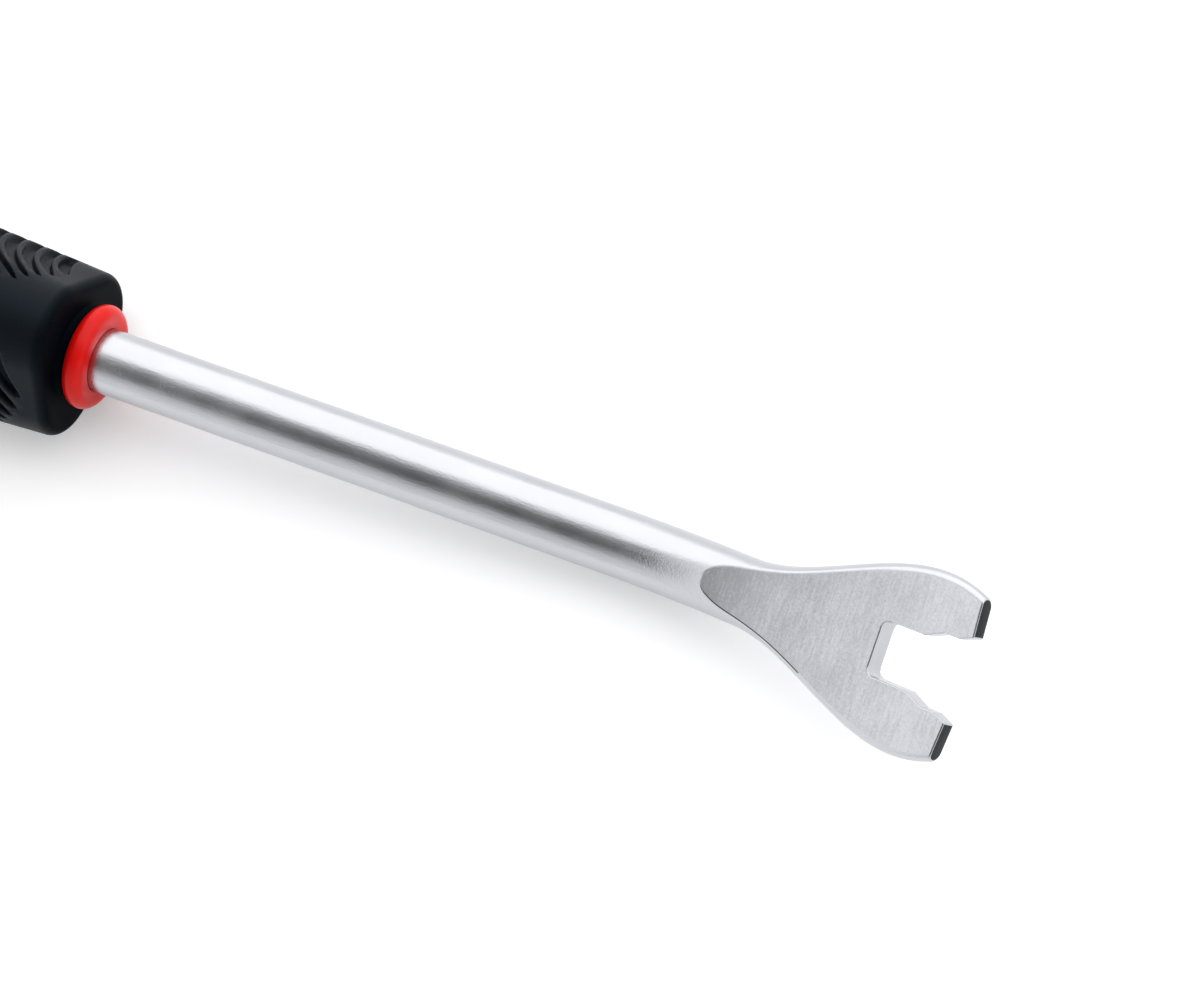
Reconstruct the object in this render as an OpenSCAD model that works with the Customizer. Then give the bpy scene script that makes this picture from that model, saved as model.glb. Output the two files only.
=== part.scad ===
// Trim removal tool: a forged steel shaft with a cranked, notched fork, a hard plastic handle core
// moulded onto the shaft's tang, and a three-lobed rubber grip moulded over the core.
// Sizes are in millimetres. Every piece is drawn along the tool: X runs from the collar's front face to
// the fork tips, Y across the fork, Z square to it. lay_down() then rests the tool on the ground plane.

/* [Shaft] */
// diameter of the round bar
bar_d = 10; // [8:0.5:11]
// collar front to the corner where the bar's centre line turns up into the fork
bar_len = 92; // [70:1:130]
// angle of the fork's middle plane to the bar
crank_angle = 25; // [15:0.5:32]
// radius of the bar's centre line through the crank
crank_r = 45; // [36:1:60]
// length of bar held in the handle
tang_len = 50; // [42:1:80]
// height of each swaged wing on the tang
wing_h = 1.6; // [0.8:0.1:2.2]
// length of the wings along the tang
wing_len = 16; // [8:1:24]

/* [Fork] */
// end of the crank to the fork tips
fork_len = 40.4; // [38:0.1:46]
// width of the fork where it is widest
fork_w = 25.6; // [22:0.2:30]
// fork tips back to the widest place
widest_at = 7.6; // [6:0.1:9]
// radius of the fork's outer edge ahead of the widest place
tip_side_r = 17; // [14:0.5:25]
// rounding of the outer corners of the tips
tip_round = 0.8; // [0.6:0.1:2]
// thickness of the fork beside the root of the notch
root_t = 3.4; // [2.6:0.1:4.4]
// thickness of the fork at the tips
tip_t = 2.2; // [1.8:0.1:2.6]
// stock that grinding takes off the forged face
grind_stock = 0.15; // [0.05:0.05:0.3]
// radius of the wheel's run-out where the ground face starts on the bar
run_out_r = 40; // [25:1:60]
// how far the upper edge of each tip lies behind its lower edge
tip_lean = 0.2; // [0.1:0.1:1.2]
// angle at which the end of each tine slants back to its outer corner
tip_slant = 5; // [0:0.5:10]

/* [Notch] */
// width of the inner slot that grips a clip's stem
slot_w = 7.8; // [5:0.1:9]
// width past the step
mouth_w = 10.2; // [9.2:0.1:11]
// width between the tips
lead_w = 12; // [11.2:0.1:13.5]
// tips back to the root of the notch
notch_depth = 13.6; // [11.5:0.1:16]
// tips back to the start of the step
step_at = 7.3; // [6.4:0.1:9]
// length of the sloping step
step_len = 2.8; // [1.5:0.1:3]
// tips back to the start of the lead-in
lead_at = 2.3; // [1.6:0.1:3]
// rounding of the slot's root corners
root_r = 1.2; // [0.5:0.1:2]

/* [Collar] */
// diameter of the collar bead
collar_d = 16.4; // [15:0.2:19]
// radius of the bead's round section
collar_round = 1.6; // [1.2:0.1:2]
// width of the groove between the bead and the grip's nose
groove_w = 1; // [0.6:0.1:2]
// depth of the groove below the top of the bead
groove_depth = 1; // [0.6:0.1:1.2]

/* [Handle core] */
// thickness of the rubber at the bottom of the collar groove
lip_t = 0.9; // [0.6:0.1:1.1]
// diameter of the core under the grip
core_d = 19.2; // [17.6:0.2:20]
// distance over which the core widens from its neck
core_taper = 12; // [8:0.5:20]
// height of the core's domed end beyond the grip
dome_h = 1; // [0.4:0.1:2]
// width of the three keys that lock the grip to the core
key_w = 4; // [2:0.2:6]
// height of the keys
key_h = 1.6; // [0.6:0.1:2.2]
// gap between grip and core in the model
bond_gap = 0.05; // [0.05:0.01:0.1]

/* [Grip] */
// length of the grip
grip_len = 115; // [100:1:135]
// how far the grip's flats are turned round the shaft from the fork's edge
grip_turn = 15; // [0:1:30]
// axis to the middle of a flat at the nose
nose_flat = 11.1; // [10.8:0.1:12.6]
// axis to the middle of a flat at the belly
belly_flat = 13.2; // [12.8:0.1:15.6]
// axis to the middle of a flat at the butt
butt_flat = 12.6; // [12.2:0.1:14.6]
// nose back to the belly
belly_at = 52; // [40:1:65]
// how much farther out the lobes stand than the flats
lobe_rise = 2.8; // [2.2:0.1:3.2]
// rounding of the nose
nose_round = 1.5; // [1:0.1:2.4]
// rounding of the butt
butt_round = 8; // [3:0.5:9]

/* [Ribbed panels] */
// nose back to the start of each ribbed panel
panel_at = 4; // [3.5:0.5:15]
// length of the panels
panel_len = 73; // [50:1:85]
// width of the panels
panel_w = 19; // [16:0.2:22]
// length over which a panel's nose end widens
panel_nose = 5; // [3:0.5:15]
// length over which a panel's butt end narrows
panel_tail = 30; // [10:1:35]
// spacing of the curved ribs
rib_pitch = 3.1; // [2.6:0.1:4]
// thickness of a rib
rib_t = 1.1; // [0.9:0.1:1.4]
// depth of the recess between ribs
rib_depth = 1.1; // [0.5:0.1:1.4]
// angle at which the ribs lean across the panel
rib_lean = 32; // [0:1:40]
// how far the ribs bow, at the full width of the panel
rib_sweep = 4.4; // [1:0.1:6]

/* [Hidden] */
$fn = 64;
bar_r = bar_d / 2;
collar_r = collar_d / 2;
core_r = core_d / 2;
bead_len = 2 * collar_round;
collar_len = bead_len + groove_w;
lip_r = collar_r - groove_depth;
neck_r = lip_r - lip_t;
steel_colour = [0.72, 0.73, 0.75];
red_colour = [0.80, 0.06, 0.05];
black_colour = [0.09, 0.10, 0.11];

// Crank: the bar's centre line is straight, then an arc, then straight along the fork.
// Places on it are measured from the end of the arc, so the bar has negative ones.
crank_arc = crank_r * crank_angle * PI / 180;
crank_start = bar_len - crank_r * tan(crank_angle / 2);
crank_end = [crank_start + crank_r * sin(crank_angle), crank_r * (1 - cos(crank_angle))];
function spine_angle(c) = crank_angle * min(1, max(0, 1 + c / crank_arc));
function spine_at(c) =
    c > 0 ? crank_end + c * [cos(crank_angle), sin(crank_angle)]
    : c > -crank_arc ? crank_r * [sin(spine_angle(c)), 1 - cos(spine_angle(c))] + [crank_start, 0]
    : [crank_start + crank_arc + c, 0];

// Forging: the round bar flattens and flares into the fork.
// Each section is two round sides with flats between, and starts as the bar's own circle.
side_steps = 14;
flare_from = 3.5;
flare_to = fork_len - widest_at;
taper_from = -crank_arc / 2;
root_at = fork_len - notch_depth;
function smooth(t) = let (u = min(1, max(0, t))) u * u * (3 - 2 * u);
function ground_t(c) = root_t + (tip_t - root_t) * (c - root_at) / notch_depth;
function forged_t(c) =
    c > root_at ? ground_t(c) + 2 * grind_stock
    : root_t + 2 * grind_stock
        + (bar_d - root_t - 2 * grind_stock) * min(1, (root_at - c) / (root_at - taper_from));
function corner_loss(c) =
    let (into = c - fork_len + tip_round)
    into > 0 ? tip_round - sqrt(max(0, tip_round * tip_round - into * into)) : 0;
function side_loss(c) =
    let (into = max(0, c - flare_to))
    tip_side_r - sqrt(tip_side_r * tip_side_r - into * into);
function forged_w(c) =
    bar_d + (fork_w - bar_d) * smooth((c - flare_from) / (flare_to - flare_from))
        - 2 * side_loss(c) - 2 * corner_loss(c);
function forged_section(c) =
    let (
        h = forged_t(c) / 2,
        w = max(forged_w(c) / 2, h) + 0.01,
        r = (h + 0.01) / cos(90 / side_steps)
    )
    [for (side = [1, -1]) for (i = [0 : side_steps - 1])
        let (a = (i + 0.5) * 180 / side_steps - 90)
        side * [w - h + r * cos(a), r * sin(a)]];
function forged_ring(c) =
    let (at = spine_at(c), a = spine_angle(c))
    [for (p = forged_section(c)) [at.x - p.y * sin(a), p.x, at.y + p.y * cos(a)]];
forged_places = [
    -crank_arc - 2,
    for (i = [0 : 11]) -crank_arc * (1 - i / 12),
    for (i = [0 : 23]) i / 24 * (fork_len - tip_round),
    for (i = [0 : 5]) fork_len - tip_round + tip_round * sin(90 * i / 5.5)
];
forged_rings = [for (c = forged_places) forged_ring(c)];

// Grip: three flats joined by three round lobes, with a slow swell from nose to butt.
// Places on it are measured back from its nose.
lobe_steps = 8;
nose_steps = 4;
butt_steps = 7;
grip_steps = 18;
grip_back = collar_len + grip_len;
function swell(p) =
    p < belly_at ? nose_flat + (belly_flat - nose_flat) * sin(90 * p / belly_at)
    : butt_flat + (belly_flat - butt_flat) * (1 + cos(180 * (p - belly_at) / (grip_len - belly_at))) / 2;
function round_loss(p, r) = p < r ? r - sqrt(max(0, r * r - (r - p) * (r - p))) : 0;
function grip_flat(p) = swell(p) - round_loss(p, nose_round) - round_loss(grip_len - p, butt_round);
function grip_ring(p, depth) =
    let (r = grip_flat(p) - depth - lobe_rise)
    [for (k = [0 : 2]) for (j = [0 : lobe_steps])
        let (start = grip_turn + 120 * k, a = start + 120 * j / lobe_steps, mid = start + 60)
        [
            -collar_len - p,
            2 * lobe_rise * cos(mid) + r * cos(a),
            2 * lobe_rise * sin(mid) + r * sin(a)
        ]];
body_len = grip_len - nose_round - butt_round;
grip_places = [
    for (i = [butt_steps : -1 : 1]) grip_len - butt_round * (1 - sin(90 * i / butt_steps)),
    for (i = [grip_steps : -1 : 0]) nose_round + body_len * i / grip_steps,
    for (i = [nose_steps - 1 : -1 : 0]) nose_round * (1 - cos(90 * i / nose_steps))
];
grip_rings = [for (p = grip_places) grip_ring(p, 0)];

// Resting place: rolled onto one flat of the grip, the tool tips forward until the bar's elbow or the
// fork touches. The line under it is the edge of its lower hull that passes below the collar.
rest_roll = 30 - grip_turn;
function rolled(p) = [
    p.x,
    p.y * cos(rest_roll) - p.z * sin(rest_roll),
    p.y * sin(rest_roll) + p.z * cos(rest_roll)
];
function pitched(p, t) = [p.x * cos(t) + p.z * sin(t), p.y, p.z * cos(t) - p.x * sin(t)];
rear_points = [for (p = grip_places) [-collar_len - p, -grip_flat(p)]];
fore_points = [
    [1, -bar_r],
    for (ring = forged_rings)
        let (low = min([for (p = ring) rolled(p).z]))
        [for (p = ring) if (rolled(p).z == low) [p.x, low]][0]
];
rest_lines = [for (i = rear_points) for (j = fore_points)
    [(i.y * j.x - j.y * i.x) / (j.x - i.x), i, j]];
lowest_line = min([for (l = rest_lines) l[0]]);
rest_line = [for (l = rest_lines) if (l[0] == lowest_line) l][0];
rest_step = rest_line[2] - rest_line[1];
rest_pitch = atan(rest_step.y / rest_step.x);
rest_lift = -pitched([rest_line[1].x, 0, rest_line[1].y], rest_pitch).z;
laid_points = [
    pitched([-grip_back - dome_h, 0, 0], rest_pitch),
    for (ring = concat(grip_rings, forged_rings)) for (p = ring) pitched(rolled(p), rest_pitch)
];
laid_x = [for (p = laid_points) p.x];
laid_y = [for (p = laid_points) p.y];
rest_at = [-(min(laid_x) + max(laid_x)) / 2, -(min(laid_y) + max(laid_y)) / 2, rest_lift];

module lay_down() {
    translate(rest_at)
        rotate([0, rest_pitch, 0])
            rotate([rest_roll, 0, 0])
                children();
}

// Skin over a list of rings with the same number of points, closed at both ends.
// The rings run towards +X and turn the right-hand way about it.
module skin(rings) {
    n = len(rings[0]);
    last = len(rings) - 1;
    sides = [for (i = [0 : last - 1]) for (j = [0 : n - 1])
        let (a = i * n + j, b = i * n + (j + 1) % n)
        each [[a, a + n, b], [b, a + n, b + n]]];
    caps = [[for (j = [0 : n - 1]) j], [for (j = [n - 1 : -1 : 0]) last * n + j]];
    polyhedron([for (ring = rings) each ring], concat(sides, caps));
}

// Puts what is drawn along X, with Z square to the fork, at the end of the crank.
module on_fork() {
    translate([crank_end.x, 0, crank_end.y])
        rotate([0, -crank_angle, 0])
            children();
}

// Turns an outline drawn in X and Z into a block across the fork.
module across_fork() {
    rotate([90, 0, 0])
        linear_extrude(fork_w + 20, center = true)
            children();
}

// Everything above the ground face: the flat of the fork, and the wheel's run-out behind it.
module grind() {
    slope = (tip_t - root_t) / 2 / notch_depth;
    start_h = forged_t(0) / 2;
    reach = sqrt(2 * run_out_r * (start_h - ground_t(0) / 2)) + 1;
    along = 10;
    flat_from = reach - 2;
    on_fork()
        across_fork()
            polygon([
                for (i = [-14 : 0])
                    let (d = reach * i / along)
                    [flat_from + d, ground_t(flat_from) / 2 + slope * d + d * d / 2 / run_out_r],
                [fork_len + 5, ground_t(fork_len + 5) / 2],
                [fork_len + 5, 30],
                [flat_from - reach * 1.4, 30]
            ]);
}

// Stepped notch between the tines, with round root corners.
module notch() {
    s = slot_w / 2;
    m = mouth_w / 2;
    l = lead_w / 2;
    over = 4;
    half = [
        [root_at, s - root_r],
        [root_at + root_r, s],
        [fork_len - step_at, s],
        [fork_len - step_at + step_len, m],
        [fork_len - lead_at, m],
        [fork_len, l],
        [fork_len + over, l + over * (l - m) / lead_at]
    ];
    on_fork()
        linear_extrude(40, center = true) {
            polygon(concat(half, [for (i = [len(half) - 1 : -1 : 0]) [half[i].x, -half[i].y]]));
            for (y = [root_r - s, s - root_r])
                translate([root_at + root_r, y])
                    circle(root_r);
        }
}

// Everything past the slanted, leaning end face of one tine.
module tine_end() {
    lean_angle = atan(tip_lean / tip_t);
    on_fork()
        translate([fork_len - tip_lean / 2, slot_w / 2, 0])
            rotate([0, 0, tip_slant])
                rotate([0, -lean_angle, 0])
                    translate([0, -5, -10])
                        cube([10, 30, 20]);
}

// Round bar held in the handle, with two wings swaged out of it so that it can't turn or pull out.
module tang() {
    point = 2;
    translate([-tang_len, 0, 0])
        rotate([0, 90, 0]) {
            cylinder(h = point, r1 = bar_r - point, r2 = bar_r);
            translate([0, 0, point])
                cylinder(h = tang_len + crank_start - point - 1, r = bar_r);
        }
    translate([-tang_len + 12, 0, 0])
        linear_extrude(bar_r / 2, center = true)
            polygon([
                [0, -bar_r + 1],
                [2, -bar_r - wing_h],
                [wing_len - 2, -bar_r - wing_h],
                [wing_len, -bar_r + 1],
                [wing_len, bar_r - 1],
                [wing_len - 2, bar_r + wing_h],
                [2, bar_r + wing_h],
                [0, bar_r - 1]
            ]);
}

module forked_shaft() {
    color(steel_colour)
        lay_down()
            difference() {
                union() {
                    tang();
                    skin(forged_rings);
                }
                grind();
                notch();
                tine_end();
                mirror([0, 1, 0])
                    tine_end();
            }
}

// Part of the core inside the grip. The room for it in the grip is larger by gap, and runs out past the butt.
module core_body(gap = 0, past = 0) {
    rotate([0, -90, 0])
        rotate_extrude()
            polygon([
                [0, 1],
                [neck_r + gap, 1],
                [neck_r + gap, collar_len + 4],
                [core_r + gap, collar_len + 4 + core_taper],
                [core_r + gap, grip_back + past],
                [0, grip_back + past]
            ]);
    for (k = [0 : 2])
        rotate([grip_turn + 60 + 120 * k, 0, 0])
            translate([-grip_back + 20 - gap, core_r - 2, -key_w / 2 - gap])
                cube([grip_len - 48 - core_taper + 2 * gap, 2 + key_h + gap, key_w + 2 * gap]);
}

// Collar bead ahead of the grip's nose.
module collar() {
    rotate([0, -90, 0])
        rotate_extrude() {
            square([collar_r - collar_round, bead_len]);
            translate([collar_r - collar_round, collar_round])
                circle(collar_round);
        }
}

// Domed end of the core at the butt.
module dome() {
    dome_r = (core_r * core_r + dome_h * dome_h) / 2 / dome_h;
    rotate([0, -90, 0])
        rotate_extrude()
            intersection() {
                translate([0, grip_back + dome_h - dome_r])
                    circle(dome_r, $fn = 240);
                translate([0, grip_back - 1])
                    square([core_r, dome_h + 2]);
            }
}

module handle_core() {
    color(red_colour)
        lay_down()
            difference() {
                union() {
                    collar();
                    core_body();
                    dome();
                }
                tang();
            }
}

// One recess between two ribs, cut square to a flat that faces +Z, from just under its floor.
// It leans and bows across the panel, and ends where it meets the panel's outline.
module recess(p) {
    lean = tan(rib_lean);
    bow = 4 / panel_w / panel_w;
    nose_a = (panel_nose + rib_sweep) * bow;
    tail_a = (panel_tail - rib_sweep) * bow;
    nose_s = sqrt(lean * lean + 4 * nose_a * (p - panel_at));
    tail_s = sqrt(lean * lean + 4 * tail_a * (panel_at + panel_len - p));
    y_from = max(-panel_w / 2, (lean - nose_s) / 2 / nose_a, (-lean - tail_s) / 2 / tail_a);
    y_to = min(panel_w / 2, (lean + nose_s) / 2 / nose_a, (tail_s - lean) / 2 / tail_a);
    lobe_r = grip_flat(p) - lobe_rise;
    past_flat = max(0, panel_w / 2 - lobe_rise * sqrt(3));
    edge_drop = lobe_r - sqrt(lobe_r * lobe_r - past_flat * past_flat);
    steps = 5;
    side = [for (i = [-steps : steps])
        let (
            u = i / steps,
            y = (y_from + y_to) / 2 + (y_to - y_from) / 2 * u,
            half = (rib_pitch - rib_t) / 2 * (1 - 0.6 * pow(u, 4))
        )
        [-collar_len - p - lean * y + rib_sweep * bow * y * y, y, half]];
    if (y_to - y_from > 5)
        translate([0, 0, grip_flat(p) - edge_drop - 2 * rib_depth])
            linear_extrude(15)
                polygon(concat(
                    [for (i = [0 : 2 * steps]) [side[i].x - side[i].z, side[i].y]],
                    [for (i = [2 * steps : -1 : 0]) [side[i].x + side[i].z, side[i].y]]
                ));
}

// Rubber lip that closes the groove behind the collar bead.
module lip() {
    translate([-collar_len - 1, 0, 0])
        rotate([0, 90, 0])
            cylinder(h = 1 + groove_w - bond_gap, r = lip_r);
}

module grip() {
    color(black_colour)
        lay_down()
            difference() {
                union() {
                    lip();
                    skin([for (p = grip_places) if (p > nose_round && p < grip_len - butt_round)
                        grip_ring(p, rib_depth)]);
                    difference() {
                        skin(grip_rings);
                        for (k = [0 : 2])
                            rotate([grip_turn + 120 * k - 90, 0, 0])
                                for (p = [panel_at + rib_pitch / 3 : rib_pitch : panel_at + panel_len])
                                    recess(p);
                    }
                }
                core_body(bond_gap, 1);
            }
}

forked_shaft();
handle_core();
grip();
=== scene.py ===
import math

import bmesh
import bpy
import numpy as np
from mathutils import Matrix


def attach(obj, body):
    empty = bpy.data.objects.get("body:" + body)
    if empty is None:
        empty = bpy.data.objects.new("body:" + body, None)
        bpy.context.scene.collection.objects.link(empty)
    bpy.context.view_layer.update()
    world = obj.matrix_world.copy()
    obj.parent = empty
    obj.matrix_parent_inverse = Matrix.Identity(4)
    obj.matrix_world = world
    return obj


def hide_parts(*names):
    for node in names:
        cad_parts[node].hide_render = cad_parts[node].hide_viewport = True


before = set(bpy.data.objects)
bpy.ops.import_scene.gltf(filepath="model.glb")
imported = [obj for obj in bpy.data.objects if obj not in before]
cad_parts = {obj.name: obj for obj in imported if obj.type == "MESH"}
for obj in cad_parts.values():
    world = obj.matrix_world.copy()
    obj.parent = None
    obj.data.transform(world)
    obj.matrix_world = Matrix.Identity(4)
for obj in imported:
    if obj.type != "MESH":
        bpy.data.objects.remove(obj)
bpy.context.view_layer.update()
scene = bpy.context.scene
scene.view_settings.view_transform = "Standard"
print("frame loaded, nodes:", sorted(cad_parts))

# every piece is drawn in mm along the tool, X from the collar's front to the tips, then laid down
lying = {"roll": 15, "pitch": 3.94064, "at": (-9.72023, 0.981891, 10.7769)}
layDown = (
    Matrix.Translation(lying["at"])
    @ Matrix.Rotation(math.radians(lying["pitch"]), 4, "Y")
    @ Matrix.Rotation(math.radians(lying["roll"]), 4, "X")
)


def laid(points):
    place = np.array(layDown)
    return (np.asarray(points, float) @ place[:3, :3].T + place[:3, 3]) / 1000


def linear(hexColour):
    parts = [int(hexColour[i:i + 2], 16) / 255 for i in (1, 3, 5)]
    return (*[v / 12.92 if v <= 0.04045 else ((v + 0.055) / 1.055) ** 2.4 for v in parts], 1)


def smooth(t):
    t = np.clip(t, 0, 1)
    return t * t * (3 - 2 * t)


# adds a node: a settings key that is a socket gives its value, any other key is an attribute
def addNode(tree, kind, settings={}, links={}):
    node = tree.nodes.new("ShaderNode" + kind)
    for key, value in settings.items():
        if isinstance(key, int) or key in node.inputs:
            node.inputs[key].default_value = value
        else:
            setattr(node, key, value)
    for key, source in links.items():
        tree.links.new(source, node.inputs[key])
    return node


def newMaterial(name):
    material = bpy.data.materials.new(name)
    material.use_nodes = True
    tree = material.node_tree
    return material, tree, tree.nodes["Principled BSDF"]


# coordinates in mm along the axes that place gives, such as the lying tool's own
def placeSettings(place):
    where, turn, size = (Matrix.Scale(0.001, 4) @ place).decompose()
    return {"vector_type": "TEXTURE", "Location": where, "Rotation": turn.to_euler(), "Scale": size}


def stopsOf(ramp, stops):
    ramp.interpolation = "EASE"
    while len(ramp.elements) < len(stops):
        ramp.elements.new(0.5)
    for element, (at, value) in zip(ramp.elements, stops):
        element.position = at
        element.color = (value, value, value, 1)


# materials

# satin chrome on drawn bar: bright soft reflections, broken by fine pits and faint streaks along the bar
chromeSteel, tree, skin = newMaterial("satinChromePlatedSteel")
satin = {
    "light": "#C4C5C8", "dull": "#B6B8BE", "roughness": (0.14, 0.26), "cloudMm": 7.143,
    "streakMm": 1.5, "streakLenMm": 11.111, "reliefMm": 0.12,
    "pitMm": 0.3,  # finer on a real bar, drawn coarser so that the pits show
}
at = addNode(tree, "TexCoord").outputs["Object"]
place = addNode(tree, "Mapping", placeSettings(layDown), {"Vector": at})
streak = (1 / satin["streakLenMm"], 1 / satin["streakMm"], 1 / satin["streakMm"])
drawn = addNode(tree, "VectorMath", {"operation": "MULTIPLY", 1: streak}, {0: place.outputs["Vector"]})
grain = addNode(tree, "TexNoise", {"Scale": 1, "Detail": 4, "Roughness": 0.6}, {"Vector": drawn.outputs[0]})
pits = addNode(tree, "TexNoise", {"Scale": 1 / satin["pitMm"], "Detail": 3, "Roughness": 0.65},
               {"Vector": place.outputs["Vector"]})
cloud = addNode(tree, "TexNoise", {"Scale": 1 / satin["cloudMm"], "Detail": 3}, {"Vector": place.outputs["Vector"]})
both = addNode(tree, "Mix", {"Factor": 0.35}, {2: grain.outputs[0], 3: pits.outputs[0]})
rough = addNode(tree, "MapRange", {"From Min": 0.3, "From Max": 0.7, "To Min": satin["roughness"][0],
                                   "To Max": satin["roughness"][1]}, {"Value": cloud.outputs[0]})
bump = addNode(tree, "Bump", {"Strength": 0.6, "Distance": satin["reliefMm"] / 1000}, {"Height": both.outputs[0]})
tone = addNode(tree, "Mix", {"data_type": "RGBA", 6: linear(satin["dull"]), 7: linear(satin["light"])},
               {0: cloud.outputs[0]})
tree.links.new(tone.outputs[2], skin.inputs["Base Color"])
skin.inputs["Metallic"].default_value = 1
tree.links.new(rough.outputs[0], skin.inputs["Roughness"])
tree.links.new(bump.outputs[0], skin.inputs["Normal"])

# surface-ground steel: matt and pale, with fine lines across the fork where the wheel passed,
# and painted shade that darkens it towards the run-out
groundSteel, tree, skin = newMaterial("surfaceGroundSteel")
wheel = {
    "light": "#D2D3D6", "dark": "#A6A7AB", "roughness": (0.39, 0.5),
    # where the painted shade is full, where it ends, and how far the colour lifts there
    "paintedShadeToMm": 9, "unshadedFromMm": 35, "unshadedShare": 0.72,
    "lineMm": 0.28,  # finer from a real wheel, drawn coarser so that the lines show
    "lineLenMm": 3.333, "speckMm": 0.3333, "patchMm": 6.25, "reliefMm": 0.04,
    "forkAt": (101.042, 0, 4.2162), "forkTurn": -25,
}
forkAxes = (
    layDown
    @ Matrix.Translation(wheel["forkAt"])
    @ Matrix.Rotation(math.radians(wheel["forkTurn"]), 4, "Y")
)
at = addNode(tree, "TexCoord").outputs["Object"]
place = addNode(tree, "Mapping", placeSettings(forkAxes), {"Vector": at})
line = (1 / wheel["lineMm"], 1 / wheel["lineLenMm"], 1 / wheel["lineLenMm"])
lines = addNode(tree, "VectorMath", {"operation": "MULTIPLY", 1: line}, {0: place.outputs["Vector"]})
grain = addNode(tree, "TexNoise", {"Scale": 1, "Detail": 4, "Roughness": 0.65}, {"Vector": lines.outputs[0]})
speck = addNode(tree, "TexNoise", {"Scale": 1 / wheel["speckMm"], "Detail": 2, "Roughness": 0.7},
                {"Vector": place.outputs["Vector"]})
patch = addNode(tree, "TexNoise", {"Scale": 1 / wheel["patchMm"], "Detail": 3}, {"Vector": place.outputs["Vector"]})
# painted shade: the colour runs from dark at the run-out to lighter along the fork
reach = addNode(tree, "SeparateXYZ", {}, {0: place.outputs["Vector"]})
reach = addNode(tree, "MapRange", {"From Min": wheel["paintedShadeToMm"], "From Max": wheel["unshadedFromMm"],
                                   "To Max": wheel["unshadedShare"]}, {"Value": reach.outputs["X"]})
fine = addNode(tree, "Mix", {"Factor": 0.5}, {2: grain.outputs[0], 3: speck.outputs[0]})
both = addNode(tree, "Mix", {"Factor": 0.25}, {2: fine.outputs[0], 3: patch.outputs[0]})
spread = addNode(tree, "MapRange", {"From Min": 0.38, "From Max": 0.62, "To Min": -0.3, "To Max": 0.5},
                 {"Value": both.outputs[0]})
share = addNode(tree, "Math", {"operation": "ADD"}, {0: reach.outputs[0], 1: spread.outputs[0]})
tone = addNode(tree, "Mix", {"data_type": "RGBA", 6: linear(wheel["dark"]), 7: linear(wheel["light"])},
               {0: share.outputs[0]})
rough = addNode(tree, "MapRange", {"From Min": 0.3, "From Max": 0.7, "To Min": wheel["roughness"][0],
                                   "To Max": wheel["roughness"][1]}, {"Value": fine.outputs[0]})
bump = addNode(tree, "Bump", {"Strength": 0.25, "Distance": wheel["reliefMm"] / 1000}, {"Height": fine.outputs[0]})
skin.inputs["Metallic"].default_value = 1
tree.links.new(tone.outputs[2], skin.inputs["Base Color"])
tree.links.new(rough.outputs[0], skin.inputs["Roughness"])
tree.links.new(bump.outputs[0], skin.inputs["Normal"])

# the sawn tip faces: dark grey steel with a dull gleam
darkTipSteel, tree, skin = newMaterial("darkGreyTipSteel")
darkTip = {"dark": "#121518", "light": "#272B30", "metallic": 0.6, "roughness": 0.5,
         "grainMm": 0.25, "reliefMm": 0.04}
at = addNode(tree, "TexCoord").outputs["Object"]
place = addNode(tree, "Mapping", placeSettings(forkAxes), {"Vector": at})
grain = addNode(tree, "TexNoise", {"Scale": 1 / darkTip["grainMm"], "Detail": 3}, {"Vector": place.outputs["Vector"]})
tone = addNode(tree, "Mix", {"data_type": "RGBA", 6: linear(darkTip["dark"]), 7: linear(darkTip["light"])},
               {0: grain.outputs[0]})
bump = addNode(tree, "Bump", {"Strength": 0.3, "Distance": darkTip["reliefMm"] / 1000}, {"Height": grain.outputs[0]})
skin.inputs["Metallic"].default_value = darkTip["metallic"]
skin.inputs["Roughness"].default_value = darkTip["roughness"]
tree.links.new(tone.outputs[2], skin.inputs["Base Color"])
tree.links.new(bump.outputs[0], skin.inputs["Normal"])

# moulded polypropylene, dyed through: clear red with a soft gloss and a very slight ripple
redPlastic, tree, skin = newMaterial("mouldedRedPolypropylene")
dye = {"colour": "#E20E08", "deep": "#CC0A05", "ior": 1.49, "gloss": 0.2, "roughness": 0.28,
       "rippleMm": 1.6, "reliefMm": 0.06}
at = addNode(tree, "TexCoord").outputs["Object"]
place = addNode(tree, "Mapping", placeSettings(layDown), {"Vector": at})
ripple = addNode(tree, "TexNoise", {"Scale": 1 / dye["rippleMm"], "Detail": 2}, {"Vector": place.outputs["Vector"]})
tone = addNode(tree, "Mix", {"data_type": "RGBA", 6: linear(dye["deep"]), 7: linear(dye["colour"])},
               {0: ripple.outputs[0]})
bump = addNode(tree, "Bump", {"Strength": 0.12, "Distance": dye["reliefMm"] / 1000}, {"Height": ripple.outputs[0]})
skin.inputs["IOR"].default_value = dye["ior"]
skin.inputs["Roughness"].default_value = dye["roughness"]
skin.inputs["Specular IOR Level"].default_value = dye["gloss"]
tree.links.new(tone.outputs[2], skin.inputs["Base Color"])
tree.links.new(bump.outputs[0], skin.inputs["Normal"])

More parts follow.
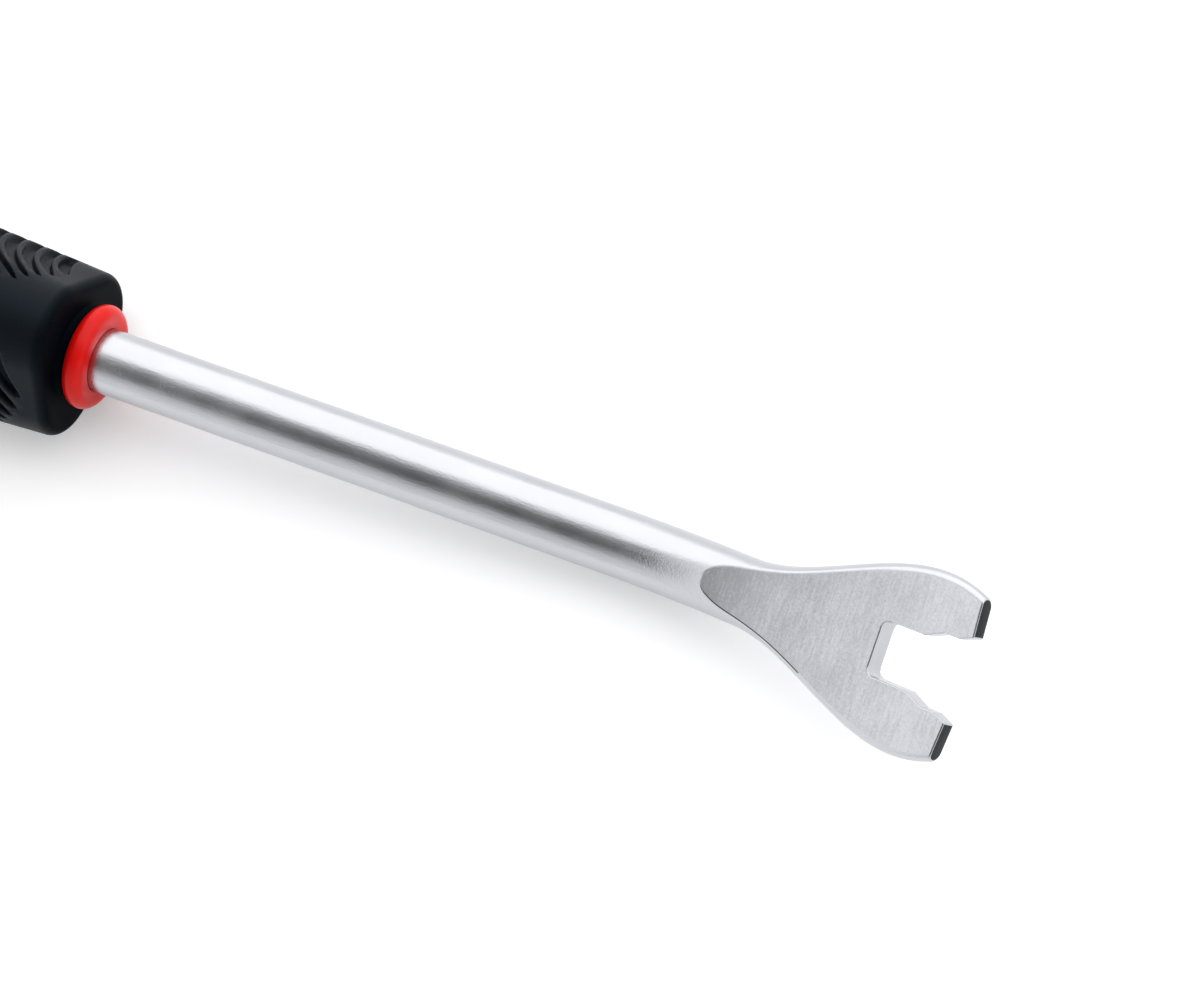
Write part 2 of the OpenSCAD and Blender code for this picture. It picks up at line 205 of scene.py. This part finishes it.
# moulded rubber from a finely eroded die: near black, a cool soft sheen, fine grain
blackRubber, tree, skin = newMaterial("mouldedBlackRubber")
rubber = {
    "dark": "#030609", "light": "#080D13", "sheen": "#CFE8FF", "ior": 1.52, "roughness": (0.43, 0.56),
    "gloss": 0.14, "dullGloss": 0.016, "dullFromMm": -5.8, "dullToMm": -4.3,
    "wornMm": 11.111, "reliefMm": 0.06,
    "grainMm": 0.25,  # finer on a real handle, drawn coarser so that it shows
}
at = addNode(tree, "TexCoord").outputs["Object"]
place = addNode(tree, "Mapping", placeSettings(layDown), {"Vector": at})
grain = addNode(tree, "TexNoise", {"Scale": 1 / rubber["grainMm"], "Detail": 3, "Roughness": 0.6},
                {"Vector": place.outputs["Vector"]})
worn = addNode(tree, "TexNoise", {"Scale": 1 / rubber["wornMm"], "Detail": 4}, {"Vector": place.outputs["Vector"]})
tone = addNode(tree, "Mix", {"data_type": "RGBA", 6: linear(rubber["dark"]), 7: linear(rubber["light"])},
               {0: worn.outputs[0]})
rough = addNode(tree, "MapRange", {"From Min": 0.3, "From Max": 0.7, "To Min": rubber["roughness"][0],
                                   "To Max": rubber["roughness"][1]}, {"Value": worn.outputs[0]})
bump = addNode(tree, "Bump", {"Strength": 0.5, "Distance": rubber["reliefMm"] / 1000}, {"Height": grain.outputs[0]})
skin.inputs["IOR"].default_value = rubber["ior"]
# the gloss is low, and the nose's front, which no hand polishes, stays dull
reach = addNode(tree, "SeparateXYZ", {}, {0: place.outputs["Vector"]})
gloss = addNode(tree, "MapRange", {"From Min": rubber["dullFromMm"], "From Max": rubber["dullToMm"],
                                   "To Min": rubber["gloss"], "To Max": rubber["dullGloss"]},
                {"Value": reach.outputs["X"]})
tree.links.new(gloss.outputs[0], skin.inputs["Specular IOR Level"])
skin.inputs["Specular Tint"].default_value = linear(rubber["sheen"])
tree.links.new(tone.outputs[2], skin.inputs["Base Color"])
tree.links.new(rough.outputs[0], skin.inputs["Roughness"])
tree.links.new(bump.outputs[0], skin.inputs["Normal"])
print("materials made")


# turns points and faces into a piece that stands for a node
def finishPiece(name, bm, node, finishes, sharpDeg):
    bmesh.ops.recalc_face_normals(bm, faces=bm.faces)
    mesh = bpy.data.meshes.new(name)
    bm.to_mesh(mesh)
    bm.free()
    for finish in finishes:
        mesh.materials.append(finish)
    mesh.polygons.foreach_set("use_smooth", [True] * len(mesh.polygons))
    mesh.set_sharp_from_angle(angle=math.radians(sharpDeg))
    piece = bpy.data.objects.new(name, mesh)
    scene.collection.objects.link(piece)
    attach(piece, "root")
    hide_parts(node)
    print(name, "made with", sum(len(p.vertices) - 2 for p in mesh.polygons), "triangles")


# forked shaft: half of it is lofted along the cranked centre line, then mirrored
shaft = {
    "barR": 5, "barLen": 92, "crank": math.radians(25), "crankR": 45, "tangLen": 50,
    "forkLen": 40.4, "forkW": 25.6, "widestAt": 7.6, "sideR": 17, "flareFrom": 3.5,
    "rootT": 3.4, "tipT": 2.2, "stock": 0.15, "runOutR": 40, "runOutBack": 1,
    "lean": 0.2, "slant": math.radians(5),
    "slotW": 7.8, "mouthW": 10.2, "leadW": 12, "notchDepth": 13.6,
    "stepAt": 7.3, "stepLen": 2.8, "leadAt": 2.3, "rootR": 1.2, "easeLen": 6,
    "edgeBreak": 0.2, "breakFrom": math.radians(55),
    "burr": 0.26, "burrFull": math.radians(20), "darkLineTo": 17,
    "hiddenLen": 4,  # of the bar, inside the collar
}
crankArc = shaft["crankR"] * shaft["crank"]
crankStart = shaft["barLen"] - shaft["crankR"] * math.tan(shaft["crank"] / 2)
crankEnd = (
    crankStart + shaft["crankR"] * math.sin(shaft["crank"]),
    shaft["crankR"] * (1 - math.cos(shaft["crank"])),
)
rootAt = shaft["forkLen"] - shaft["notchDepth"]
flareTo = shaft["forkLen"] - shaft["widestAt"]
groundSlope = (shaft["tipT"] - shaft["rootT"]) / 2 / shaft["notchDepth"]


# place c runs along the centre line from the end of the crank, so the bar has negative ones
def spineAt(c):
    turn = shaft["crank"] * min(1, max(0, 1 + c / crankArc))
    if c > 0:
        return crankEnd[0] + c * math.cos(turn), crankEnd[1] + c * math.sin(turn), turn
    if c > -crankArc:
        return crankStart + shaft["crankR"] * math.sin(turn), shaft["crankR"] * (1 - math.cos(turn)), turn
    return crankStart + crankArc + c, 0, 0


def groundHalf(c):
    return shaft["rootT"] / 2 + groundSlope * (c - rootAt)


def forgedHalf(c):
    if c > rootAt:
        return groundHalf(c) + shaft["stock"]
    fall = (shaft["barR"] - shaft["rootT"] / 2 - shaft["stock"]) / (rootAt + crankArc / 2)
    past, ease = c + crankArc / 2, shaft["easeLen"]
    if abs(past) < ease:  # the flattening starts softly, so no line shows across the crank
        return shaft["barR"] - fall * (past + ease) ** 2 / 4 / ease
    return shaft["barR"] - fall * max(0, past)


def forgedWide(c):
    flare = float(smooth((c - shaft["flareFrom"]) / (flareTo - shaft["flareFrom"])))
    past = max(0, c - flareTo)
    loss = shaft["sideR"] - math.sqrt(shaft["sideR"] ** 2 - past ** 2)
    return shaft["barR"] + (shaft["forkW"] / 2 - shaft["barR"]) * flare - loss


# the flat starts here
runOut = math.sqrt(2 * shaft["runOutR"] * (forgedHalf(0) - groundHalf(0))) - shaft["runOutBack"]


def wheelHeight(x):
    if x >= runOut:
        return groundHalf(x)
    return groundHalf(runOut) + groundSlope * (x - runOut) + (x - runOut) ** 2 / 2 / shaft["runOutR"]


# height of the ground face above the centre line, on the section at c
def cutHeight(c):
    if c >= 0:
        return wheelHeight(c)
    turn = min(-c, crankArc) / shaft["crankR"]
    height = shaft["barR"]
    for step in range(12):  # settles well before the last
        x = -(shaft["crankR"] - height) * math.sin(turn)
        height = shaft["crankR"] - (shaft["crankR"] - wheelHeight(x)) / math.cos(turn)
    return height


def notchHalf(c):
    slot, mouth, lead = shaft["slotW"] / 2, shaft["mouthW"] / 2, shaft["leadW"] / 2
    r = shaft["rootR"]
    fromTip = shaft["forkLen"] - c
    if c < rootAt + r:
        return slot - r + math.sqrt(max(0, r * r - (rootAt + r - c) ** 2))
    if fromTip > shaft["stepAt"]:
        return slot
    if fromTip > shaft["stepAt"] - shaft["stepLen"]:
        return slot + (mouth - slot) * (shaft["stepAt"] - fromTip) / shaft["stepLen"]
    if fromTip > shaft["leadAt"]:
        return mouth
    return mouth + (lead - mouth) * (shaft["leadAt"] - fromTip) / shaft["leadAt"]


# a half section runs from the top's middle to the ground face's edge, round the side and back along the bottom
steps = {
    "inner": 8, "top": 26, "burr": 3, "side": 26, "wall": 5,
    "bar": 30, "crank": 44, "flare": 96, "corner": 10, "slot": 16, "step": 12, "mouth": 10, "tip": 11,
    "crowding": 1.25,  # over 1 it draws the sections towards the run-out
}
rootGap = shaft["slotW"] / 2 - shaft["rootR"]
last = 2 * (steps["inner"] + steps["top"]) + steps["side"]


def sectionSizes(c):
    h = forgedHalf(c)
    w = max(forgedWide(c), h)
    g = min(h, cutHeight(c))
    burr = shaft["burr"] * min(1, math.acos(g / h) / shaft["burrFull"])
    return h, w, g, w - h + math.sqrt(max(0, h * h - g * g)), burr


def sectionPoint(c, j, tine):
    h, w, g, edge, burr = sectionSizes(c)
    inner, top, side = steps["inner"], steps["top"], steps["side"]
    gap = notchHalf(c) if tine else 0
    mirrored = last - j
    if j <= inner + top or mirrored <= inner + top:
        upper = j <= inner + top
        n, outer = (j, edge - burr) if upper else (mirrored, w - h)
        if tine:
            y = gap + (outer - gap) * (n - inner) / top
        else:  # the first points keep to the width of the slot's root, which the notch starts from
            split = rootGap * outer / rootOuter[upper]
            y = split * n / inner if n <= inner else split + (outer - split) * (n - inner) / top
        return y, g if upper else -h
    turn = math.asin(g / h) - burr / h
    t = (j - inner - top) / steps["burr"]
    if t < 1:  # the edge between the ground face and the round side is eased
        y = (1 - t) ** 2 * (edge - burr) + 2 * t * (1 - t) * edge + t * t * (w - h + h * math.cos(turn))
        return y, (1 - t * t) * g + t * t * h * math.sin(turn)
    turn -= (turn + math.pi / 2) * (j - inner - top - steps["burr"]) / (side - steps["burr"])
    return w - h + h * math.cos(turn), h * math.sin(turn)


rootSizes = sectionSizes(rootAt)
rootOuter = {True: rootSizes[3] - rootSizes[4], False: rootSizes[1] - rootSizes[0]}
tipFrom = shaft["forkLen"] - shaft["leadAt"]


# the end faces slant back to the outer corners and lean back to their upper edges
def endPlace(j):
    y, z = sectionPoint(shaft["forkLen"], j, True)
    back = (y - shaft["slotW"] / 2) * math.tan(shaft["slant"]) + z * shaft["lean"] / shaft["tipT"]
    return shaft["forkLen"] - shaft["lean"] / 2 - back


def onSpine(c, y, z):
    x, up, turn = spineAt(c)
    return x - z * math.sin(turn), y, up + z * math.cos(turn)


apexLow, apexHigh = -crankArc, runOut
for step in range(40):
    mid = (apexLow + apexHigh) / 2
    apexLow, apexHigh = (mid, apexHigh) if cutHeight(mid) >= forgedHalf(mid) else (apexLow, mid)
apex = apexHigh
barEnd = -crankArc - crankStart
bodyPlaces = [barEnd - shaft["tangLen"], barEnd - shaft["hiddenLen"]]
bodyPlaces += [*np.linspace(barEnd, -crankArc, steps["bar"])]
bodyPlaces += [*np.linspace(-crankArc, apex, steps["crank"])[1:]]
bodyPlaces += [*(apex + (rootAt - apex) * np.linspace(0, 1, steps["flare"])[1:] ** steps["crowding"])]
groundFrom = bodyPlaces.index(apex)
cornerTurns = np.linspace(0, math.pi / 2, steps["corner"])[1:]
corner = [rootAt + shaft["rootR"] * (1 - math.cos(a)) for a in cornerTurns]
stepFrom = shaft["forkLen"] - shaft["stepAt"]
stepTo = stepFrom + shaft["stepLen"]
tinePlaces = corner + [*np.linspace(corner[-1], stepFrom, steps["slot"])[1:]]
tinePlaces += [*np.linspace(stepFrom, stepTo, steps["step"])[1:]]
tinePlaces += [*np.linspace(stepTo, tipFrom, steps["mouth"])[1:]]
tipSteps = np.linspace(0, 1, steps["tip"])[1:]

bm = bmesh.new()


def addPoint(c, y, z):
    return bm.verts.new(onSpine(c, y, z))


def addFace(corners, finish):
    if len(set(corners)) == len(corners):
        bm.faces.new(corners).material_index = finish


body = [[addPoint(c, *sectionPoint(c, j, False)) for j in range(last + 1)] for c in bodyPlaces]
inner = steps["inner"]
tineRange = range(inner, last - inner + 1)
tine = [body[-1][inner:last - inner + 1]]
tine += [[addPoint(c, *sectionPoint(c, j, True)) for j in tineRange] for c in tinePlaces]
ends = {j: endPlace(j) for j in tineRange}
for t in tipSteps:
    places = {j: tipFrom + t * (ends[j] - tipFrom) for j in tineRange}
    tine.append([addPoint(places[j], *sectionPoint(places[j], j, True)) for j in tineRange])
plated, ground, sawn, darkLine = range(4)  # the finishes in order, and a dark line along the burr, sorted out below
for i in range(len(body) - 1):
    for j in range(last):
        past = j - inner - steps["top"] if i >= groundFrom else 1
        finish = ground if past < 0 else plated
        if past == 0 and bodyPlaces[i] < shaft["darkLineTo"]:
            finish = darkLine
        addFace((body[i][j], body[i][j + 1], body[i + 1][j + 1], body[i + 1][j]), finish)
for i in range(len(tine) - 1):
    for j in range(len(tine[0]) - 1):
        finish = ground if j < steps["top"] else plated
        addFace((tine[i][j], tine[i][j + 1], tine[i + 1][j + 1], tine[i + 1][j]), finish)
# the notch's walls: across its root, then along the tine
walls = []
wallEnds = [(body[-1][j], body[-1][last - j]) for j in range(inner + 1)]
wallEnds += [(row[0], row[-1]) for row in tine[1:]]
for upper, lower in wallEnds:
    between = [upper.co.lerp(lower.co, k / steps["wall"]) for k in range(1, steps["wall"])]
    walls.append([upper, *[bm.verts.new(p) for p in between], lower])
for i in range(len(walls) - 1):
    for k in range(steps["wall"]):
        addFace((walls[i][k], walls[i][k + 1], walls[i + 1][k + 1], walls[i + 1][k]), plated)
addFace([*tine[-1], *reversed(walls[-1][1:-1])], sawn)
addFace(body[0], plated)
half = bmesh.ops.duplicate(bm, geom=bm.verts[:] + bm.edges[:] + bm.faces[:])["geom"]
for vert in half:
    if isinstance(vert, bmesh.types.BMVert):
        vert.co.y = -vert.co.y
bmesh.ops.reverse_faces(bm, faces=[f for f in half if isinstance(f, bmesh.types.BMFace)])
for face in bm.faces:  # the dark line along the burr stays only where Y is negative
    if face.material_index == darkLine:
        face.material_index = sawn if face.calc_center_median().y < 0 else plated
bmesh.ops.remove_doubles(bm, verts=bm.verts, dist=0.0005)
bmesh.ops.dissolve_degenerate(bm, edges=bm.edges, dist=0.0002)
bmesh.ops.recalc_face_normals(bm, faces=bm.faces)
sharp = [e for e in bm.edges if len(e.link_faces) == 2 and e.calc_face_angle() > shaft["breakFrom"]]
sharp = [e for e in sharp if e.verts[0].co.x > crankEnd[0]]
bmesh.ops.bevel(bm, geom=sharp, offset=shaft["edgeBreak"], segments=4, profile=0.5, affect="EDGES",
                clamp_overlap=False, material=plated)
for vert, place in zip(bm.verts, laid([v.co for v in bm.verts])):
    vert.co = place
finishPiece("forkedShaft", bm, "forked_shaft", [chromeSteel, groundSteel, darkTipSteel], 20)

# handle core: one turned form, of which the bead in front and the dome at the butt show
core = {
    "barR": 4.99, "mouthRound": 0.2, "landLen": 1, "boreGap": 0.06, "boreSpare": 0.5,
    "beadR": 8.2, "round": 1.6, "groove": 1, "neckR": 6.3, "neckLen": 4, "coreR": 9.6, "taper": 12,
    "gripLen": 115, "rimLen": 2, "domeH": 1, "domeIn": 0.01,
    "ringR": 6.6, "ringW": 0.25, "gateR": 1.6, "gateEdge": 0.5, "sunk": 0.3,
    "turns": 160, "beadSteps": 29, "domeSteps": 64,
}
beadLen = 2 * core["round"]
collarLen = beadLen + core["groove"]
gripBack = collarLen + core["gripLen"]
domeR = (core["coreR"] ** 2 + core["domeH"] ** 2) / 2 / core["domeH"]
neckEnd = -collarLen - core["neckLen"]
boreEnd, boreWall = -shaft["tangLen"] - core["boreSpare"], core["barR"] + core["boreGap"]
mouth = core["mouthRound"]
# it starts with a blind bore round the tang
profile = [(boreEnd, 0), (boreEnd, boreWall), (-core["landLen"] - mouth, boreWall)]
profile += [(-core["landLen"], core["barR"]), (-mouth, core["barR"])]
profile += [(-0.3 * mouth, core["barR"] + 0.3 * mouth), (0, core["barR"] + mouth)]
for a in np.linspace(0, math.pi, core["beadSteps"]):
    r = core["beadR"] - core["round"] * (1 - math.sin(a))
    profile.append((-core["round"] + core["round"] * math.cos(a), r))
profile += [(-beadLen, core["neckR"]), (neckEnd, core["neckR"])]
profile += [(neckEnd - core["taper"], core["coreR"]), (-gripBack + core["rimLen"], core["coreR"])]
domeEnd = -gripBack - core["domeH"] + core["domeIn"]
# the dome has a fine ring and the dimple of the moulding gate
for r in np.linspace(core["coreR"], 0, core["domeSteps"]):
    ring = math.exp(-((r - core["ringR"]) / core["ringW"]) ** 2)
    gate = float(smooth((core["gateR"] - r) / core["gateEdge"]))
    profile.append((domeEnd + domeR - math.sqrt(domeR ** 2 - r * r) + core["sunk"] * (ring + gate), r))
bm = bmesh.new()
turned = []
for x, r in profile:
    angles = np.linspace(0, 2 * math.pi, core["turns"], endpoint=False)
    points = laid([(x, r * math.cos(a), r * math.sin(a)) for a in angles])
    turned.append([bm.verts.new(p) for p in points])
for here, there in zip(turned[:-1], turned[1:]):
    for k in range(core["turns"]):
        n = (k + 1) % core["turns"]
        bm.faces.new((here[k], here[n], there[n], there[k]))
bmesh.ops.remove_doubles(bm, verts=bm.verts, dist=0.0000001)
finishPiece("handleCore", bm, "handle_core", [redPlastic], 40)

# grip: three flats and three lobes, with panels of leaning, bowed recesses on the flats
grip = {
    "turn": 15, "len": core["gripLen"], "noseFlat": 11.1, "bellyFlat": 13.2, "buttFlat": 12.6, "bellyAt": 52,
    "lobeRise": 2.8, "noseRound": 1.5, "buttRound": 8, "inset": 0.03,
    "panelAt": 4, "panelLen": 73, "panelW": 19, "panelNose": 5, "panelTail": 30, "panelMargin": 1.2,
    "ribPitch": 3.1, "ribT": 1.1, "ribDepth": 1.1, "ribLean": math.radians(32), "ribSweep": 4.4,
    "ribEdge": 0.16, "endEdge": 0.6, "endTaper": 0.6, "shortest": 5, "plainGap": 0.5,
    "edgeRings": (0.22, 0.1, 0, -0.1, -0.22), "floorRings": (-0.3, 0.3),
    "lipR": 7.2, "lipT": 0.9, "lipGap": 0.05, "lipEdge": 0.25, "lipGroove": 0.2,
    "boreR": 9.65, "boreGap": 0.05, "edgeT": 0.12, "edgeBack": (0.1, 3), "flatSteps": 22, "lobeSteps": 50,
    "noseSteps": 9, "foreSteps": 5, "frontSteps": 5, "aftSteps": 20, "buttSteps": 14,
}


def roundLoss(p, r):
    into = np.clip(r - p, 0, r)
    return r - np.sqrt(r * r - into * into)


def gripFlat(p):
    back = (p - grip["bellyAt"]) / (grip["len"] - grip["bellyAt"])
    fore = grip["noseFlat"] + (grip["bellyFlat"] - grip["noseFlat"]) * np.sin(np.pi / 2 * p / grip["bellyAt"])
    aft = grip["buttFlat"] + (grip["bellyFlat"] - grip["buttFlat"]) * (1 + np.cos(np.pi * back)) / 2
    swell = np.where(p < grip["bellyAt"], fore, aft)
    return swell - roundLoss(p, grip["noseRound"]) - roundLoss(grip["len"] - p, grip["buttRound"])


# round the section: the way it faces, its centre, and its distance from the nearest flat's middle
flatHalf = math.sqrt(3) * grip["lobeRise"]
columns = []
for k in range(3):
    flatTurn = math.radians(grip["turn"] + 120 * k)
    ahead = np.array([math.cos(flatTurn), math.sin(flatTurn)])
    beside = np.array([-math.sin(flatTurn), math.cos(flatTurn)])
    for t in np.linspace(-1, 1, grip["flatSteps"], endpoint=False):
        columns.append((flatTurn, *(grip["lobeRise"] * ahead + t * flatHalf * beside), t * flatHalf, 0, 0))
    lobeTurn = flatTurn + math.radians(60)
    for t in np.linspace(0, 1, grip["lobeSteps"], endpoint=False):
        turn = math.radians(120) * min(t, 1 - t)
        side = 1 if t < 0.5 else -1
        columns.append((flatTurn + math.radians(120) * t, 2 * grip["lobeRise"] * math.cos(lobeTurn),
                        2 * grip["lobeRise"] * math.sin(lobeTurn), side * flatHalf, side * math.sin(turn), turn))
facing, centreY, centreZ, along, onLobe, lobeTurns = np.array(columns).T

# the recesses' middle lines, and the outline of a panel
recessHalf = (grip["ribPitch"] - grip["ribT"]) / 2
panelEnd = grip["panelAt"] + grip["panelLen"]
recessAt = np.arange(grip["panelAt"] + grip["ribPitch"] / 3, panelEnd, grip["ribPitch"])
lean = math.tan(grip["ribLean"])
bow = 4 / grip["panelW"] ** 2
noseA = (grip["panelNose"] + grip["ribSweep"]) * bow
tailA = (grip["panelTail"] - grip["ribSweep"]) * bow
buttAt = grip["len"] - grip["buttRound"]


def lateral(p):
    return along + onLobe * (gripFlat(p) - grip["lobeRise"])


def recessEnds(at):
    noseS = math.sqrt(lean ** 2 + 4 * noseA * (at - grip["panelAt"]))
    tailS = math.sqrt(lean ** 2 + 4 * tailA * (panelEnd - at))
    low = max(-grip["panelW"] / 2, (-lean - noseS) / 2 / noseA, (lean - tailS) / 2 / tailA)
    return low, min(grip["panelW"] / 2, (noseS - lean) / 2 / noseA, (lean + tailS) / 2 / tailA)


# rings bend with the recesses inside a panel and straighten out to the nose, the butt and the lobes' crowns
def bent(q, y):
    inside = np.clip(y, -grip["panelW"] / 2, grip["panelW"] / 2)
    shift = -lean * inside - grip["ribSweep"] * bow * inside ** 2
    edgeTurn = math.asin((grip["panelW"] / 2 - flatHalf) / (grip["bellyFlat"] - grip["lobeRise"]))
    crown = np.clip((lobeTurns - edgeTurn) / (math.radians(60) - edgeTurn), 0, 1)
    shift = shift * (1 - crown) - grip["ribSweep"] * crown
    fore = grip["panelAt"] + grip["panelNose"] * bow * inside ** 2 - grip["panelMargin"]
    aft = panelEnd - grip["panelTail"] * bow * inside ** 2 + grip["panelMargin"]
    first = grip["noseRound"]
    return np.array([
        np.interp(qk, [0, first, f - d, a - d, buttAt, grip["len"]], [0, first, f, a, buttAt, grip["len"]])
        for qk, d, f, a in zip(q, shift, fore, aft)])


def gripRing(q, depth, at):
    p = q
    for step in range(3):
        p = bent(q, lateral(p))
    y = lateral(p)
    low, high = recessEnds(at)
    sunk = depth * smooth((y - low) / grip["endEdge"]) * smooth((high - y) / grip["endEdge"])
    sunk = sunk * (high - low > grip["shortest"])
    r = gripFlat(p) - grip["lobeRise"] - grip["inset"] - grip["ribDepth"] * sunk
    return np.stack([-collarLen - p, centreY + r * np.cos(facing), centreZ + r * np.sin(facing)], 1)


# with no depth, any place in the panel will do
def plainRings(places):
    return [gripRing(np.full(len(facing), q), 0, grip["panelAt"] + 1) for q in places]


noseTurns, buttTurns = (np.linspace(0, math.pi / 2, grip[k]) for k in ("noseSteps", "buttSteps"))
ribGap = recessHalf + grip["plainGap"]  # from the middle of a recess to plain rubber
rings = plainRings([grip["noseRound"] * (1 - math.cos(a)) for a in noseTurns])
rings += plainRings(np.linspace(grip["noseRound"], recessAt[0] - ribGap, grip["foreSteps"])[1:])
for at in recessAt:
    low, high = recessEnds(at)
    aside = lateral(np.full(len(facing), at)) - (low + high) / 2
    spread = np.clip(aside / max(0.1, (high - low) / 2), -1, 1)
    narrow = recessHalf * (1 - grip["endTaper"] * spread ** 4)
    for off in grip["edgeRings"]:
        rings.append(gripRing(at - narrow - off, float(smooth(-off / 2 / grip["ribEdge"] + 0.5)), at))
    rings += [gripRing(at + narrow * t, 1, at) for t in grip["floorRings"]]
    for off in reversed(grip["edgeRings"]):
        rings.append(gripRing(at + narrow + off, float(smooth(-off / 2 / grip["ribEdge"] + 0.5)), at))
rings += plainRings(np.linspace(recessAt[-1] + ribGap, buttAt, grip["aftSteps"]))
rings += plainRings([buttAt + grip["buttRound"] * math.sin(a) for a in buttTurns[1:]])

outline = rings[0]
bare = outline[:, 1:] / np.linalg.norm(outline[:, 1:], axis=1)[:, None]
front = []
lipFront = -beadLen - grip["lipGap"]
lip = [(grip["lipR"] - grip["lipT"], lipFront), (grip["lipR"], lipFront)]
lip += [(grip["lipR"], -collarLen + grip["lipEdge"])]
for r, x in lip:
    front.append(np.column_stack([np.full(len(bare), x), bare * r]))
for t in np.linspace(0, 1, grip["frontSteps"])[:-1]:
    r = (grip["lipR"] + grip["lipGroove"]) * bare * (1 - t) + outline[:, 1:] * t
    front.append(np.column_stack([np.full(len(bare), -collarLen), r]))
rings = front + rings
# at the butt the rubber thins out to an edge on the core
rings = np.array(rings)
edgeR = grip["boreR"] + grip["edgeT"]
for k in range(len(facing)):
    reach = np.hypot(rings[:, k, 1], rings[:, k, 2])
    ended = np.flatnonzero((reach < edgeR) & (rings[:, k, 0] < -collarLen - buttAt))
    if len(ended):
        i = ended[0]
        share = (reach[i - 1] - edgeR) / (reach[i - 1] - reach[i])
        rings[i:, k] = rings[i - 1, k] + share * (rings[i, k] - rings[i - 1, k])
edge = rings[-1]
shrink = grip["boreR"] / edgeR
inward = [edge * (1, shrink, shrink) + (back, 0, 0) for back in grip["edgeBack"]]
# and inside it follows the core back to the lip, so the rubber is one closed solid
around = edge[:, 1:] / np.linalg.norm(edge[:, 1:], axis=1)[:, None]
for x, r in ((neckEnd - core["taper"], grip["boreR"]), (neckEnd, core["neckR"] + grip["boreGap"])):
    inward.append(np.column_stack([np.full(len(around), x), around * r]))
rings = [*rings, *inward]
bm = bmesh.new()
loops = [[bm.verts.new(p) for p in laid(ring)] for ring in rings]
for here, there in zip(loops, loops[1:] + loops[:1]):
    for k in range(len(here)):
        n = (k + 1) % len(here)
        bm.faces.new((here[k], here[n], there[n], there[k]))
bmesh.ops.remove_doubles(bm, verts=bm.verts, dist=0.0000005)
finishPiece("rubberGrip", bm, "grip", [blackRubber], 50)

# floor and light: white paper, broad light overhead and behind, a darker room on the camera's side
studio = {"floor": "#F4F4F5", "lift": 0.26, "floorSize": 6, "floorZ": -0.0001,
          "sideFrom": -0.39, "sideTo": -0.57, "sideLight": (1.25, 1.25, 1.27, 1)}
bm = bmesh.new()
bmesh.ops.create_grid(bm, x_segments=1, y_segments=1, size=studio["floorSize"])
floorMesh = bpy.data.meshes.new("floor")
bm.to_mesh(floorMesh)
bm.free()
floor = bpy.data.objects.new("floor", floorMesh)
floor.location.z = studio["floorZ"]
scene.collection.objects.link(floor)
# white background paper: matt, lifted to white where it is seen
floorPaper, tree, skin = newMaterial("whiteBackgroundPaper")
tree.nodes.clear()
ray = addNode(tree, "LightPath")
seen = addNode(tree, "Math", {"operation": "MAXIMUM"},
               {0: ray.outputs["Is Camera Ray"], 1: ray.outputs["Is Glossy Ray"]})
seen = addNode(tree, "Math", {"operation": "MAXIMUM"},
               {0: seen.outputs[0], 1: ray.outputs["Is Transmission Ray"]})
lift = addNode(tree, "Math", {"operation": "MULTIPLY", 1: studio["lift"]}, {0: seen.outputs[0]})
paper = addNode(tree, "BsdfDiffuse", {"Color": linear(studio["floor"])})
glow = addNode(tree, "Emission", {}, {"Strength": lift.outputs[0]})
total = addNode(tree, "AddShader", {}, {0: paper.outputs[0], 1: glow.outputs[0]})
addNode(tree, "OutputMaterial", {}, {"Surface": total.outputs[0]})
floorMesh.materials.append(floorPaper)

# the world's light by angle over the tool, from the camera's side (0) over the top (0.5) to behind (1)
room = [
    (0, 1.05), (0.1, 0.95), (0.18, 0.7), (0.245, 0.33), (0.305, 0.17), (0.375, 0.2),
    (0.44, 0.31), (0.505, 0.62), (0.555, 1.15), (0.61, 1.85), (0.95, 1.9), (1, 1.7),
]
world = bpy.data.worlds.new("studioLight")
scene.world = world
world.use_nodes = True
tree = world.node_tree
tree.nodes.clear()
way = addNode(tree, "SeparateXYZ", {}, {0: addNode(tree, "TexCoord").outputs["Generated"]})
nearSide = addNode(tree, "Math", {"operation": "MULTIPLY", 1: -1}, {0: way.outputs["Y"]})
angle = addNode(tree, "Math", {"operation": "ARCTAN2"}, {0: way.outputs["Z"], 1: nearSide.outputs[0]})
share = addNode(tree, "Math", {"operation": "DIVIDE", 1: math.pi}, {0: angle.outputs[0]})
over = addNode(tree, "ValToRGB", {}, {0: share.outputs[0]})
stopsOf(over.color_ramp, room)
side = addNode(tree, "MapRange", {"interpolation_type": "SMOOTHSTEP", "From Min": studio["sideFrom"],
                                  "From Max": studio["sideTo"]}, {"Value": way.outputs["X"]})
mixed = addNode(tree, "Mix", {"data_type": "RGBA", "blend_type": "LIGHTEN", 7: studio["sideLight"]},
                {0: side.outputs[0], 6: over.outputs[0]})
light = addNode(tree, "Background", {"Strength": 1}, {"Color": mixed.outputs[2]})
addNode(tree, "OutputWorld", {}, {"Surface": light.outputs[0]})
print("studio set")

# camera at the photograph's place and lens
eye = {"at": (0.16798, -0.05699, 0.34694), "turn": (15.257, 11.42, 21.651), "lens": 75.25}
lens = bpy.data.cameras.new("camera")
lens.lens = eye["lens"]
lens.sensor_width = 36
lens.clip_start = 0.01
camera = bpy.data.objects.new("camera", lens)
camera.location = eye["at"]
camera.rotation_euler = [math.radians(v) for v in eye["turn"]]
scene.collection.objects.link(camera)
scene.camera = camera
